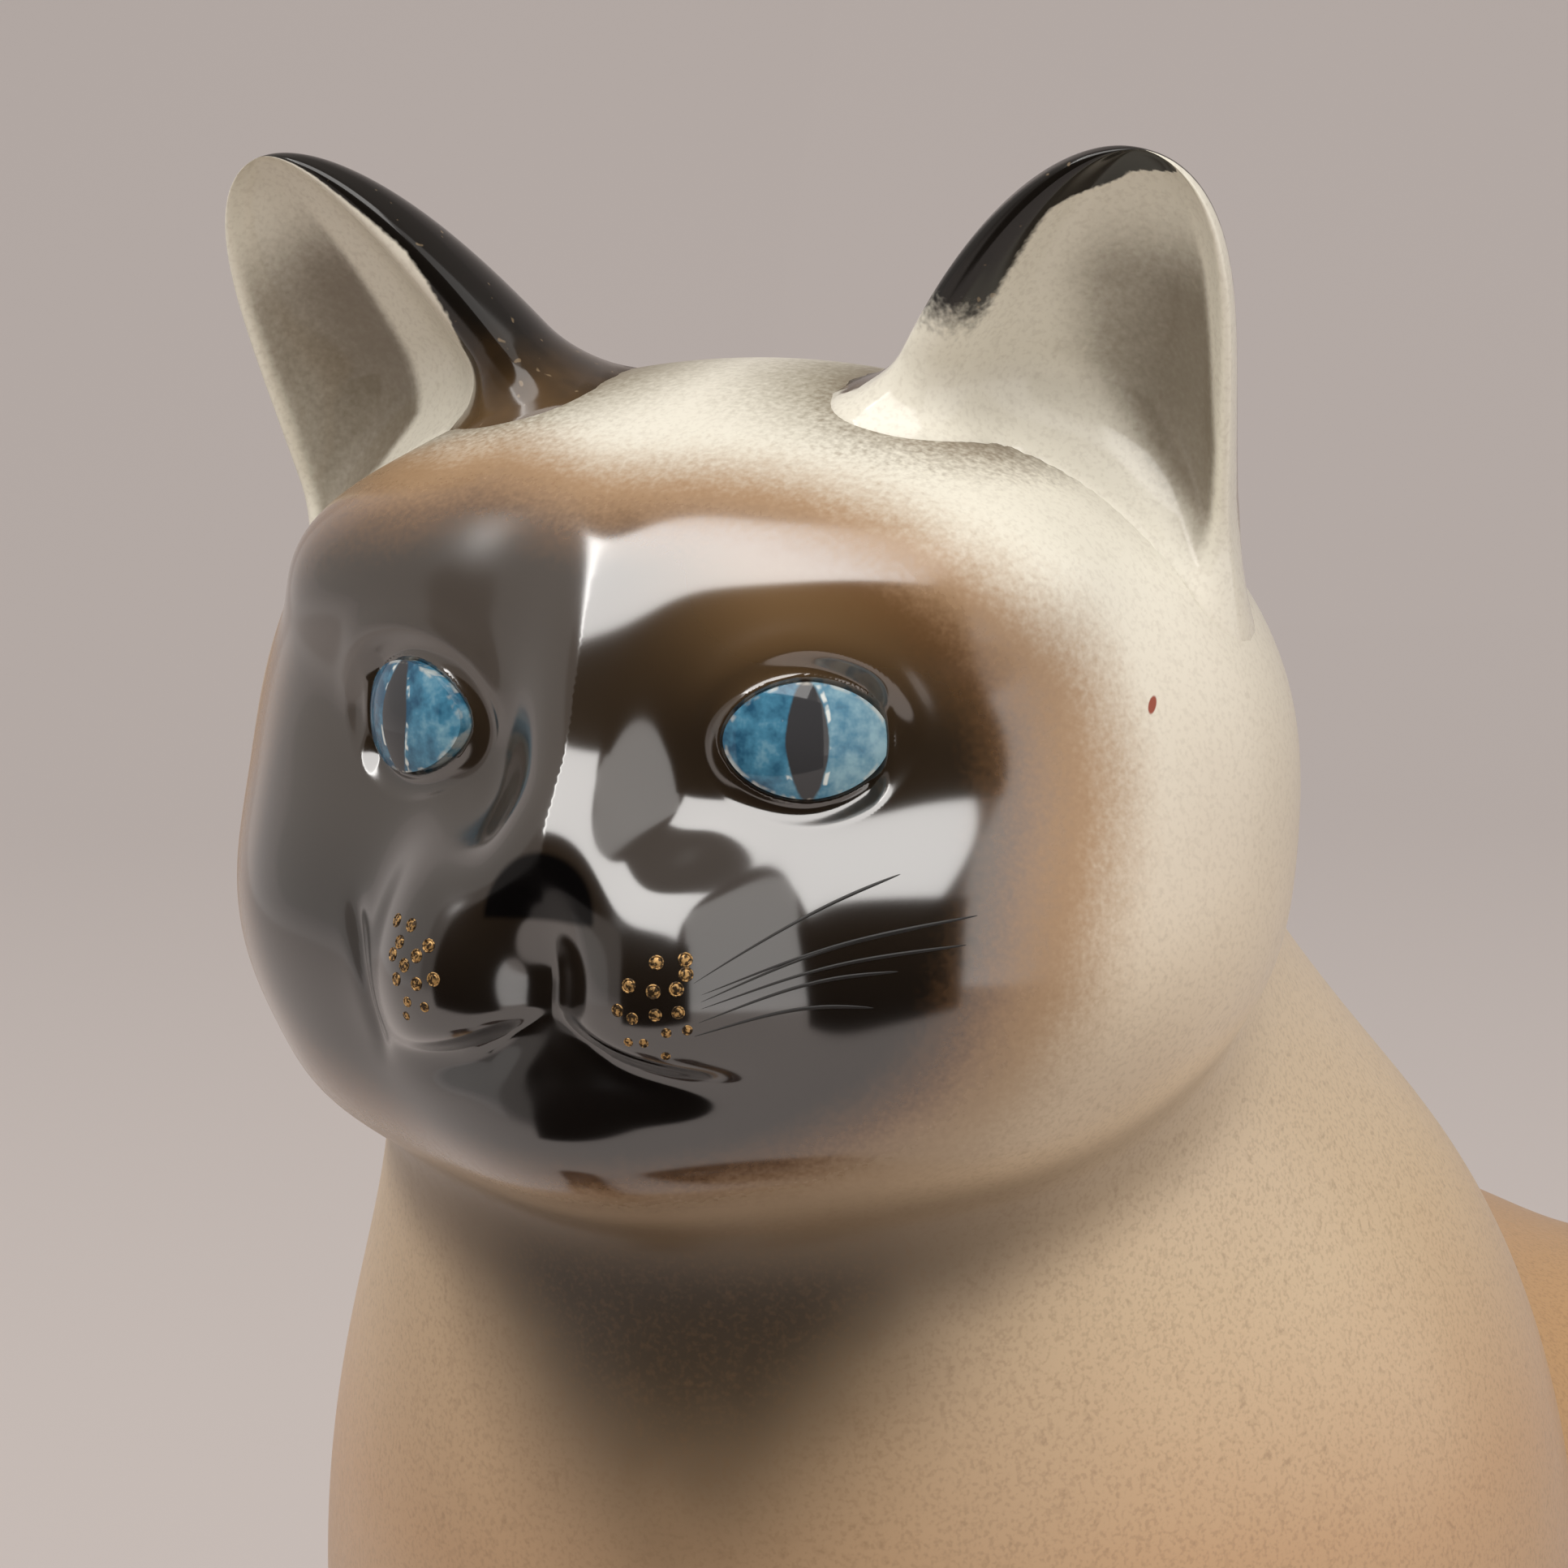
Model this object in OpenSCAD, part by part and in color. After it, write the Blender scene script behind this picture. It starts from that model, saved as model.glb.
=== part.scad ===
// Porcelain figure of a Siamese cat that lies with its head raised.
// Hollow castings luted together with slip: a body, a head, ears, eyes, legs, hind feet and a tail.
// The cat looks along -Y, its left side is +X, and it lies on the plane z = 0.

/* [Figure] */
// Height of the middle of the head above the table
head_height = 94; // [88:0.5:100]
// Distance of the middle of the head in front of the middle of the foot
head_forward = 42; // [38:0.5:46]
// Wall of the castings
wall = 3.2; // [2.4:0.1:4]
// Thickness of the slip seam between luted castings
seam = 0.15; // [0.1:0.05:0.3]

/* [Head] */
// Skull: place from the middle of the head
skull_at = [0, -2, 3.2]; // [-4:0.1:5]
// Skull: width, length and height
skull_size = [52, 35.5, 36]; // [33:0.5:56]
// Jowl: place from the middle of the head
jowl_at = [12.7, -4, -4.5]; // [-6:0.1:14]
// Jowl: width, length and height
jowl_size = [25.4, 26.8, 20.2]; // [18:0.2:30]
// Jaw: place from the middle of the head
jaw_at = [0, -10.7, -10.7]; // [-12:0.1:1]
// Jaw: width, length and height
jaw_size = [37.4, 24.2, 13]; // [12:0.2:40]
// Muzzle: place from the middle of the head
muzzle_at = [0, -13, -3.4]; // [-14:0.1:1]
// Muzzle: width, length and height
muzzle_size = [21, 16, 13.2]; // [12:0.2:24]
// Cheek: place from the middle of the head
cheek_at = [13, -11.5, -4]; // [-13:0.1:15]
// Cheek: width, length and height
cheek_size = [15, 17, 15]; // [13:0.2:19]
// Whisker pad: place from the middle of the head
pad_at = [5, -19.8, -4.8]; // [-21:0.1:6]
// Whisker pad: width, length and height
pad_size = [8.6, 13, 9.6]; // [7.5:0.1:14]
// Chin: place from the middle of the head
chin_at = [0, -18.6, -11.2]; // [-20:0.1:1]
// Chin: width, length and height
chin_size = [11.5, 12, 7]; // [6:0.1:13]
// Bridge of the nose: place from the middle of the head
bridge_at = [0, -15.7, 5]; // [-17:0.1:6]
// Bridge of the nose: width, length and height
bridge_size = [6.5, 11, 15.8]; // [6:0.1:17]
// Nose: place from the middle of the head
nose_at = [0, -21.9, 0.6]; // [-23:0.1:1.5]
// Nose: width, length and height
nose_size = [5, 4.6, 4.4]; // [3.5:0.1:6]
// Brow: place from the middle of the head
brow_at = [9.6, -11.6, 11.4]; // [-13:0.1:12.5]
// Brow: width, length and height
brow_size = [18.8, 12, 9.4]; // [8:0.2:20]
// Ball behind the eyelids: place from the middle of the head
orbit_at = [9, -15.2, 6.2]; // [-17:0.1:10.5]
// Ball behind the eyelids: width, length and height
orbit_size = [8.4, 10, 7]; // [6:0.1:12]
// Eye socket pressed into the face: place from the middle of the head
socket_at = [11, -20, 5.6]; // [-22:0.1:12]
// Eye socket: width, length and height
socket_size = [14, 10, 9.5]; // [8:0.1:16]
// Depth of the eye socket
socket_deep = 1.7; // [0.5:0.1:2]
// Hollow beside the nose: place from the middle of the head
tear_at = [4.6, -22.5, 2]; // [-24:0.1:6]
// Hollow beside the nose: width, length and height
tear_size = [5, 8, 9]; // [3:0.1:10]
// Depth of the hollow beside the nose
tear_deep = 0.8; // [0.2:0.1:1.2]
// Groove under the nose: place from the middle of the head
lip_at = [0, -26, -3.8]; // [-28:0.1:1]
// Groove under the nose: width, length and height
lip_size = [3.6, 8, 7]; // [3:0.1:9]
// Depth of the groove under the nose
lip_deep = 0.6; // [0.2:0.1:1]
// Mouth: place of each side from the middle of the head
mouth_at = [3.5, -25, -8.3]; // [-27:0.1:5]
// Mouth: width, length and height of each side
mouth_size = [10, 10, 2.6]; // [2:0.1:12]
// Depth of the mouth
mouth_deep = 0.8; // [0.2:0.1:1.2]
// Softness of the hollows between the masses of the head
head_soft = 2; // [1.4:0.1:2.6]

/* [Eyes] */
// Front of the eye: place from the middle of the head
eye_at = [10.3, -20.1, 6]; // [-21:0.1:11.5]
// Width of the almond
eye_w = 7.3; // [6:0.1:8.4]
// Height of the almond
eye_h = 5.1; // [4.2:0.1:6]
// Fullness of the almond between pointed, 1.5, and oval, 2
eye_full = 1.85; // [1.5:0.05:2]
// Radius of the domed front
eye_dome = 6.2; // [5.5:0.1:9]
// Depth of the eye from its front to its flat back
eye_depth = 3; // [2.4:0.1:3.6]
// Angle that each eye looks outwards
eye_turn = 26; // [18:1:34]
// Angle that each eye looks upwards
eye_lift = 4; // [-4:1:12]
// Clearance of the eye in its seat
eye_gap = 0.1; // [0.05:0.05:0.2]

/* [Ears] */
// Root of the ear: place from the middle of the head
ear_root = [16, -3.3, 11]; // [-5:0.1:18]
// Tip of the ear: place from the middle of the head
ear_tip = [22.2, -10.7, 31]; // [-12:0.1:33]
// Width of the ear
ear_w = 15.6; // [13:0.2:18]
// Depth of the ear's rounded back
ear_depth = 9.2; // [7:0.1:10]
// Depth of the cup
cup_depth = 4.4; // [2:0.1:5]
// Height of the rim on its outer side
ear_rim = 0.6; // [0.3:0.1:1]
// Height of the roll on its inner side
ear_roll = 1.5; // [0.8:0.1:1.8]
// Flare of the ear where it runs out on the crown
ear_flare = 4.5; // [2:0.1:6]
// Bow of the ear towards the middle
ear_bow = 1.2; // [0:0.1:2]
// Angle that the cup looks outwards
ear_turn = 12; // [4:1:20]
// Angle that the ear's width dips outwards
ear_dip = 21; // [14:1:28]

/* [Body] */
// Neck: place from the middle of the head
neck_at = [0, 4.3, -11]; // [-12:0.1:6]
// Neck: width, length and height
neck_size = [39.4, 42.6, 44.6]; // [36:0.2:48]
// Chest: place from the middle of the foot
chest_at = [0, -27.7, 55.4]; // [-30:0.1:58]
// Chest: width, length and height
chest_size = [56, 65, 75]; // [52:0.5:80]
// Shoulder: place from the middle of the foot
shoulder_at = [18.2, -19.2, 41.9]; // [-22:0.1:44]
// Shoulder: width, length and height
shoulder_size = [31.6, 48.4, 63.8]; // [28:0.2:68]
// Breast low between the forelegs: place from the middle of the foot
breast_at = [0, -26, 22]; // [-30:0.5:24]
// Breast: width, length and height
breast_size = [48, 52, 50]; // [44:0.5:56]
// Trunk: place from the middle of the foot
trunk_at = [0, 23, 26]; // [-2:0.5:28]
// Trunk: width, length and height
trunk_size = [61, 117, 59]; // [55:0.5:122]
// Haunch: place from the middle of the foot
haunch_at = [24, 44, 22]; // [18:0.5:48]
// Haunch: width, length and height
haunch_size = [29, 56, 50]; // [26:0.5:60]
// Belly: place from the middle of the foot
belly_at = [0, 18, 10]; // [-1:0.5:22]
// Belly: width, length and height
belly_size = [60, 118, 40]; // [36:0.5:124]
// Withers between the neck and the back: place from the middle of the foot
withers_at = [0, 6, 46]; // [-2:0.5:48]
// Withers: width, length and height
withers_size = [32, 50, 36]; // [28:0.5:54]
// Softness of the hollows between the masses of the body
body_soft = 4; // [3:0.1:5]
// Softness of the crease between the head and the neck
crease_soft = 1.2; // [0.8:0.1:2]
// Diameter of the vent in the foot
vent_d = 10; // [6:0.5:14]
// Distance of the vent behind the middle of the foot
vent_back = 14; // [0:1:30]

/* [Neck joint] */
// Drop of the joint below the middle of the head
joint_drop = 19; // [17.5:0.5:20.5]
// Rise of the joint towards the nape, in degrees
joint_rise = 19; // [16:1:22]

/* [Legs] */
// Forearm: place from the middle of the foot
forearm_at = [20, -38, 12]; // [-40:0.5:22]
// Forearm: width, length and height
forearm_size = [21, 66, 26]; // [18:0.5:70]
// Wrist: place from the middle of the foot
wrist_at = [19.5, -60, 7.5]; // [-64:0.5:21.5]
// Wrist: width, length and height
wrist_size = [17, 32, 18]; // [14:0.5:36]
// Forepaw: place from the middle of the foot
paw_at = [19, -76, 8]; // [-80:0.5:21]
// Forepaw: width, length and height
paw_size = [20, 26, 17]; // [15:0.5:28]
// Hind foot: place from the middle of the foot
hind_at = [31, 20, 6]; // [5:0.5:33]
// Hind foot: width, length and height
hind_size = [15, 44, 15]; // [12:0.5:46]
// Hind toes: place from the middle of the foot
hind_toes_at = [32, 2, 6.5]; // [1:0.5:34]
// Hind toes: width, length and height
hind_toes_size = [17, 17, 14]; // [12:0.5:19]
// Width of one toe
toe_w = 6.6; // [5:0.1:7.5]
// Length of one toe
toe_l = 11; // [9:0.2:13]
// Height of one toe
toe_h = 11; // [9:0.2:13]
// Softness of the hollows between the masses of a leg
leg_soft = 1; // [0.7:0.1:1.4]

/* [Tail] */
// Thickness of the tail at the rump
tail_d = 14; // [11:0.5:15]
// Thickness of the tail near its tip
tail_tip_d = 10; // [8:0.5:11]
// Space between the tail and the haunch
tail_gap = 0.5; // [0.3:0.1:1.5]
// Reach of the tail in front of the middle of the haunch
tail_reach = 40; // [20:1:48]

/* [Hidden] */

cream = "#dcc9a8";
seal_brown = "#3d2c24";
iris_blue = "#5b93b5";

// Rings and columns of the castings
columns = 48;
trunk_rings = 13;
neck_rings = 17;
head_rings = 36;
inner_share = 2;
front_crowding = 0.5;
halvings = 14;
farthest = 110;
slight = 0.01;
quarter_turn = 90;
half_turn = 180;
full_turn = 360;

head_at = [0, -head_forward, head_height];

function mass(at, size) = [at, size / 2];
function pair(at, size) = [mass(at, size), mass([-at.x, at.y, at.z], size)];

// Masses that the head and the body are modelled from, each a place and three half sizes
head_masses = concat(
    [mass(head_at + skull_at, skull_size)],
    pair(head_at + jowl_at, jowl_size),
    [mass(head_at + jaw_at, jaw_size)],
    [mass(head_at + muzzle_at, muzzle_size)],
    pair(head_at + cheek_at, cheek_size),
    pair(head_at + pad_at, pad_size),
    [mass(head_at + chin_at, chin_size)],
    [mass(head_at + bridge_at, bridge_size)],
    [mass(head_at + nose_at, nose_size)],
    pair(head_at + brow_at, brow_size),
    pair(head_at + orbit_at, orbit_size));
body_masses = concat(
    [mass(head_at + neck_at, neck_size)],
    [mass(chest_at, chest_size)],
    pair(shoulder_at, shoulder_size),
    [mass(breast_at, breast_size)],
    [mass(withers_at, withers_size)],
    [mass(trunk_at, trunk_size)],
    pair(haunch_at, haunch_size),
    [mass(belly_at, belly_size)]);

// Hollows pressed into the head on both sides, each a place, three half sizes and a depth
head_hollows = [
    [head_at + socket_at, socket_size / 2, socket_deep],
    [head_at + tear_at, tear_size / 2, tear_deep],
    [head_at + lip_at, lip_size / 2, lip_deep],
    [head_at + mouth_at, mouth_size / 2, mouth_deep]];
function hollow_at(p, h) =
    let (q = [abs(p.x), p.y, p.z] - h[0],
         a = [q.x / h[1].x, q.y / h[1].y, q.z / h[1].z])
    h[2] * exp(-a * a);
function total(values) = values * [for (v = values) 1];

// Gap from a point to one mass, and to masses that run softly into each other
function gap_to(p, m) =
    let (q = p - m[0],
         a = [q.x / m[1].x, q.y / m[1].y, q.z / m[1].z],
         b = [a.x / m[1].x, a.y / m[1].y, a.z / m[1].z],
         k = norm(a))
    k * (k - 1) / norm(b);
function run_together(gaps, soft) =
    -soft * ln(total([for (g = gaps) exp(-g / soft)]));
head_form = function (p)
    run_together([for (m = head_masses) gap_to(p, m)], head_soft)
    + total([for (h = head_hollows) hollow_at(p, h)]);
body_form = function (p) run_together([for (m = body_masses) gap_to(p, m)], body_soft);
figure_form = function (p) run_together([head_form(p), body_form(p)], crease_soft);

// Distance along a ray at which a form's gap reaches a level, at most far
function halve(form, from, dir, level, near, far, n) =
    let (mid = (near + far) / 2)
    n == 0 ? mid
    : form(from + dir * mid) > level ? halve(form, from, dir, level, near, mid, n - 1)
    : halve(form, from, dir, level, mid, far, n - 1);
function reach(form, from, dir, level, far) =
    form(from + dir * far) <= level ? far : halve(form, from, dir, level, 0, far, halvings);

// The sections of the body stand upright from the rump to the nape, and fan from there to the neck joint
// about a line across the figure above the back
fan_end = quarter_turn - joint_rise;
fan_y = 12;
fan_at = [0, fan_y, head_height - joint_drop + (fan_y + head_forward) * tan(joint_rise)];
trunk_core = 28;
neck_core = 50;
function column_angle(j, count) =
    let (t = full_turn * j / count)
    t - quarter_turn - front_crowding * sin(t) * half_turn / PI;
function upright(y) = [[0, y, trunk_core], [0, 0, 1]];
function fanned(share) =
    let (f = fan_end * share,
         up = [0, sin(f), cos(f)],
         out = fan_at.z - trunk_core,
         length = out + (neck_core - out) * share)
    [fan_at - up * length, up];
function section(frame, count, depth) =
    [for (j = [0:count - 1])
        let (a = column_angle(j, count),
             dir = [cos(a), 0, 0] + frame[1] * sin(a),
             drop = frame[0].z - depth,
             far = dir.z < 0 ? min(farthest, -drop / dir.z) : farthest)
        frame[0] + dir * reach(figure_form, frame[0], dir, -depth, far)];
function joint_ring(count, depth) = section(fanned(1), count, depth);

// Rings of the body from the rump forward and up to the neck joint, at a depth under its surface
function rump_at(depth) =
    let (from = upright(fan_y)[0])
    from + [0, reach(body_form, from, [0, 1, 0], -depth, farthest), 0];
function body_rings(depth, count, along, round) =
    let (rump = rump_at(depth))
    concat(
        [for (k = [1:along]) section(upright(fan_y + (rump.y - fan_y) * cos(90 * k / along)), count, depth)],
        [for (k = [1:round - 1]) section(fanned(k / round), count, depth)],
        [joint_ring(count, depth)]);

// Rings of the head from the neck joint up to the crown, at a depth under its surface
head_core = head_at + [0, 2, -1];
function crown_at(depth) =
    head_core + [0, 0, reach(figure_form, head_core, [0, 0, 1], -depth, farthest)];
function head_rings_at(depth, count, rows) =
    let (ring = joint_ring(count, depth))
    concat(
        [ring],
        [for (i = [1:rows - 1])
            [for (q = ring)
                let (d = q - head_core,
                     flat = norm([d.x, d.y]),
                     low = atan2(d.z, flat),
                     e = low + (90 - low) * i / rows,
                     dir = [d.x / flat * cos(e), d.y / flat * cos(e), sin(e)])
                head_core + dir * reach(figure_form, head_core, dir, -depth, farthest)]]);

// Faces of a stack of rings, of its closed end and of a rim between a ring and one with half its points
function strip(first, next, count) =
    [for (j = [0:count - 1])
        let (k = (j + 1) % count)
        each [[first + j, first + k, next + j], [first + k, next + k, next + j]]];
function stack(start, rows, count) =
    [for (i = [0:rows - 2]) each strip(start + i * count, start + (i + 1) * count, count)];
function closed_end(ring, pole, count) = [for (j = [0:count - 1]) [ring + j, ring + (j + 1) % count, pole]];
function rim(outer, inner, count) =
    let (half = count / 2)
    [for (j = [0:half - 1])
        let (a = outer + 2 * j, b = a + 1, c = outer + (2 * j + 2) % count, k = inner + (j + 1) % half)
        each [[a, b, inner + j], [b, k, inner + j], [b, c, k]]];
function turned(faces) = [for (f = faces) [f[0], f[2], f[1]]];

// A hollow casting that is open at its last ring: outside and inside, each from its closed end
module casting(outer, outer_end, inner, inner_end, flip) {
    n = columns;
    half = columns / inner_share;
    rows = len(outer);
    inner_rows = len(inner);
    inner_start = rows * n;
    poles = inner_start + inner_rows * half;
    points = concat([for (r = outer) each r], [for (r = inner) each r], [outer_end, inner_end]);
    faces = concat(
        turned(closed_end(0, poles, n)),
        stack(0, rows, n),
        rim((rows - 1) * n, inner_start + (inner_rows - 1) * half, n),
        turned(stack(inner_start, inner_rows, half)),
        closed_end(inner_start, poles + 1, half));
    polyhedron(points, flip ? faces : turned(faces), convexity = 6);
}

function reversed(list) = [for (i = [len(list) - 1:-1:0]) list[i]];

module body_shell() {
    count = columns / inner_share;
    color(cream) difference() {
        casting(
            body_rings(0, columns, trunk_rings, neck_rings), rump_at(0),
            body_rings(wall, count, trunk_rings / inner_share, neck_rings / inner_share), rump_at(wall),
            false);
        translate([0, vent_back, -wall]) cylinder(d = vent_d, h = 3 * wall, $fn = 48);
    }
}

// Flat almond of the eye, grown all round by a gap
module almond(grow) {
    w = eye_w / 2 + grow;
    h = eye_h / 2 + grow;
    points = 40;
    power = 2 / eye_full;
    polygon([for (i = [0:points - 1])
        let (a = full_turn * (i + 0.5) / points)
        [w * sign(cos(a)) * pow(abs(cos(a)), power), h * sign(sin(a)) * pow(abs(sin(a)), power)]]);
}

// Puts what is drawn along +Z at the front of the left or the right eye
module at_eye(side) {
    mirror([side < 0 ? 1 : 0, 0, 0])
        translate(head_at + eye_at) rotate([0, 0, eye_turn]) rotate([90 - eye_lift, 0, 0]) children();
}

module eye(side) {
    color(iris_blue) at_eye(side) intersection() {
        translate([0, 0, -eye_depth]) linear_extrude(eye_depth + slight) almond(0);
        translate([0, 0, -eye_dome]) sphere(r = eye_dome, $fn = 48);
    }
}

module head_shell() {
    count = columns / inner_share;
    color(seal_brown) difference() {
        casting(
            reversed(head_rings_at(0, columns, head_rings)), crown_at(0),
            reversed(head_rings_at(wall, count, head_rings / inner_share)), crown_at(wall),
            true);
        for (side = [-1, 1])
            at_eye(side) translate([0, 0, -eye_depth]) linear_extrude(2 * eye_depth) almond(eye_gap);
    }
}

// A limb is a loft luted to its parent. at(s, a, r) is its point a share s along it, at the angle a
// round its ring and a share r of the way from the ring's middle line to its edge. It starts where it
// leaves the parent by the thickness of the seam, and ends in a rounded tip.
function leaves(at, parent, a, r, near, far, n) =
    let (mid = (near + far) / 2)
    n == 0 ? mid
    : parent(at(mid, a, r)) > seam ? leaves(at, parent, a, r, near, mid, n - 1)
    : leaves(at, parent, a, r, mid, far, n - 1);
module limb(at, parent, rows, count) {
    half = count / 2;
    tip_crowding = 1.7;
    seat_shares = [1, 0.5, 0];
    angles = [for (j = [0:count - 1]) 360 * j / count];
    starts = [for (r = seat_shares) [for (a = angles) leaves(at, parent, a, r, 0, 1, halvings)]];
    sides = [for (i = [0:rows - 1])
        let (t = 1 - pow(1 - i / rows, tip_crowding))
        for (j = [0:count - 1]) at(starts[0][j] + (1 - starts[0][j]) * t, angles[j], 1)];
    seat = [for (j = [0:count - 1]) at(starts[1][j], angles[j], seat_shares[1])];
    spine = [for (j = [0:half]) at(starts[2][j], angles[j], seat_shares[2])];
    tip = rows * count;
    seat_start = tip + 1;
    spine_start = seat_start + count;
    on_spine = function (j) spine_start + (j % count <= half ? j % count : count - j % count);
    faces = concat(
        stack(0, rows, count),
        closed_end((rows - 1) * count, tip, count),
        turned(strip(0, seat_start, count)),
        [for (j = [0:count - 1])
            let (a = seat_start + j, b = seat_start + (j + 1) % count, c = on_spine(j), d = on_spine(j + 1))
            each [[a, c, b], [b, c, d]]]);
    polyhedron(concat(sides, [at(1, 0, 1)], seat, spine), turned(faces), convexity = 4);
}

// Share by which a ring's middle line stops short of its edge
inset = 0.15;
function ease(t) = let (u = min(max(t, 0), 1)) u * u * (3 - 2 * u);
function blunt(s, p, q) = pow(max(1 - pow(s, p), 0), q);

// Ear: a rounded back, a cup that fades out towards the head, and a rolled rim
ear_axis = ear_tip - ear_root;
ear_up = ear_axis / norm(ear_axis);
ear_side_raw = [cos(ear_turn) * cos(ear_dip), sin(ear_turn) * cos(ear_dip), -sin(ear_dip)];
ear_side_flat = ear_side_raw - ear_up * (ear_side_raw * ear_up);
ear_side = ear_side_flat / norm(ear_side_flat);
ear_front = cross(ear_side, ear_up);
ear_point = function (s, a, r)
    let (run_out = ear_flare * pow(1 - s, 3),
         w = ear_w / 2 * blunt(s, 2.7, 0.5) + (cos(a) < 0 ? run_out : 0),
         f = abs(sin(a)),
         inner = (1 - cos(a)) / 2,
         crest = 0.28 + 0.5 * inner,
         rolled = min(f / crest, 1),
         lip = (ear_rim + (ear_roll - ear_rim) * inner) * blunt(s, 4, 0.5)
               * sqrt(2 * rolled - rolled * rolled) * (1 - ease((f - crest) / 0.35)),
         cup = cup_depth * ease((s - 0.12) / 0.35) * sqrt(1 - s) * pow(f, 1.5) * (1.25 - 0.85 * inner)
               * pow(ease((f - 0.8 * crest) / (1 - 0.8 * crest)), 0.6),
         back = (ear_depth * pow(1 - s, 0.6) + run_out / 2) * pow(f, 0.9),
         edge = sin(a) >= 0 ? -back : lip - cup,
         middle = (lip - cup - back) / 2,
         x = w * cos(a) * (1 - inset * (1 - r)) - ear_bow * sin(180 * s))
    head_at + ear_root + ear_axis * s + ear_side * x + ear_front * (middle + (edge - middle) * r);

module ear(side) {
    color(seal_brown) mirror([side < 0 ? 1 : 0, 0, 0]) limb(ear_point, head_form, 16, 28);
}

// A round limb on the table: its middle line, its ring's side and up directions and its half sizes
function ring_point(middle, side, up, w, h, a, r) =
    let (p = middle + side * (w * cos(a) * (1 - inset * (1 - r))) + up * (h * sin(a) * r))
    [p.x, p.y, max(p.z, 0)];
// A leg is modelled from masses, in sections across it up to its paw and in rays from the middle of the paw
// round the toes. Four toes stand side by side at the front of a paw.
function toes(at, size) =
    [for (k = [-1.5:1:1.5])
        mass(at + [k * size.x / 4, -size.y / 2 + toe_l / 4 + abs(k) * toe_l / 8, 0], [toe_w, toe_l, toe_h])];
foreleg_masses = concat(
    [mass(forearm_at, forearm_size)], [mass(wrist_at, wrist_size)], [mass(paw_at, paw_size)],
    toes(paw_at, paw_size));
hind_masses = concat(
    [mass(hind_at, hind_size)], [mass(hind_toes_at, hind_toes_size)], toes(hind_toes_at, hind_toes_size));
foreleg_form = function (p) run_together([for (m = foreleg_masses) gap_to(p, m)], leg_soft);
hind_form = function (p) run_together([for (m = hind_masses) gap_to(p, m)], leg_soft);

// Share of a leg's rows that lie behind the middle of its paw
paw_from = 0.6;
function leg_point(form, root, paw, s, a, r) =
    let (along = min(s / paw_from, 1),
         tilt = 90 * max(s - paw_from, 0) / (1 - paw_from),
         from = root + (paw - root) * along,
         dir = [cos(a) * cos(tilt), -sin(tilt), sin(a) * cos(tilt)],
         far = dir.z < 0 ? min(farthest, -from.z / dir.z) : farthest,
         out = s < 1 ? (1 - inset * (1 - r) * pow(cos(a), 2)) : 1,
         p = from + dir * reach(form, from, dir, 0, far) * out)
    [p.x, p.y, from.z + (p.z - from.z) * r];
foreleg_root = forearm_at + [0, forearm_size.y * 0.35, 0];
hind_root = hind_at + [0, hind_size.y * 0.35, 0];
foreleg_point = function (s, a, r) leg_point(foreleg_form, foreleg_root, paw_at, s, a, r);
hind_point = function (s, a, r) leg_point(hind_form, hind_root, hind_toes_at, s, a, r);

module foreleg(side) {
    color(seal_brown) mirror([side < 0 ? 1 : 0, 0, 0]) limb(foreleg_point, body_form, 18, 24);
}
module hind_foot(side) {
    color(seal_brown) mirror([side < 0 ? 1 : 0, 0, 0]) limb(hind_point, body_form, 14, 22);
}

// Tail: from inside the rump round the left haunch, then straight forward along the table
tail_side = haunch_at.x + haunch_size.x / 2 + tail_gap + tail_d / 2;
tail_back = trunk_at.y + trunk_size.y / 2 - haunch_at.y + tail_gap + tail_d / 2;
tail_turn = 0.6;
tail_rise = trunk_at.z - tail_d / 2;
function tail_half(s) = (tail_d + (tail_tip_d - tail_d) * s) / 2;
tail_middle = function (s)
    let (t = quarter_turn * min(s / tail_turn, 1),
         out = 0.45 + 0.55 * ease(s / 0.25),
         on = max(s - tail_turn, 0) / (1 - tail_turn))
    [tail_side * sin(t) * out,
     haunch_at.y + tail_back * cos(t) * out - tail_reach * on,
     tail_half(s) - 0.5 + tail_rise * (1 - ease(s / 0.35))];
tail_point = function (s, a, r)
    let (step = 0.01,
         d = tail_middle(min(s + step, 1)) - tail_middle(max(s - step, 0)),
         side = [-d.y, d.x, 0] / norm([d.x, d.y]),
         w = tail_half(s) * blunt(s, 14, 0.5))
    ring_point(tail_middle(s), side, [0, 0, 1], w, w, a, r);
module tail() {
    color(seal_brown) limb(tail_point, body_form, 26, 16);
}

body_shell();
head_shell();
ear(1);  // left_ear
ear(-1);  // right_ear
eye(1);  // left_eye
eye(-1);  // right_eye
foreleg(1);  // left_foreleg
foreleg(-1);  // right_foreleg
hind_foot(1);  // left_hind_foot
hind_foot(-1);  // right_hind_foot
tail();
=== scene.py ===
import math

import bpy
import numpy as np
from mathutils import Matrix


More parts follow.
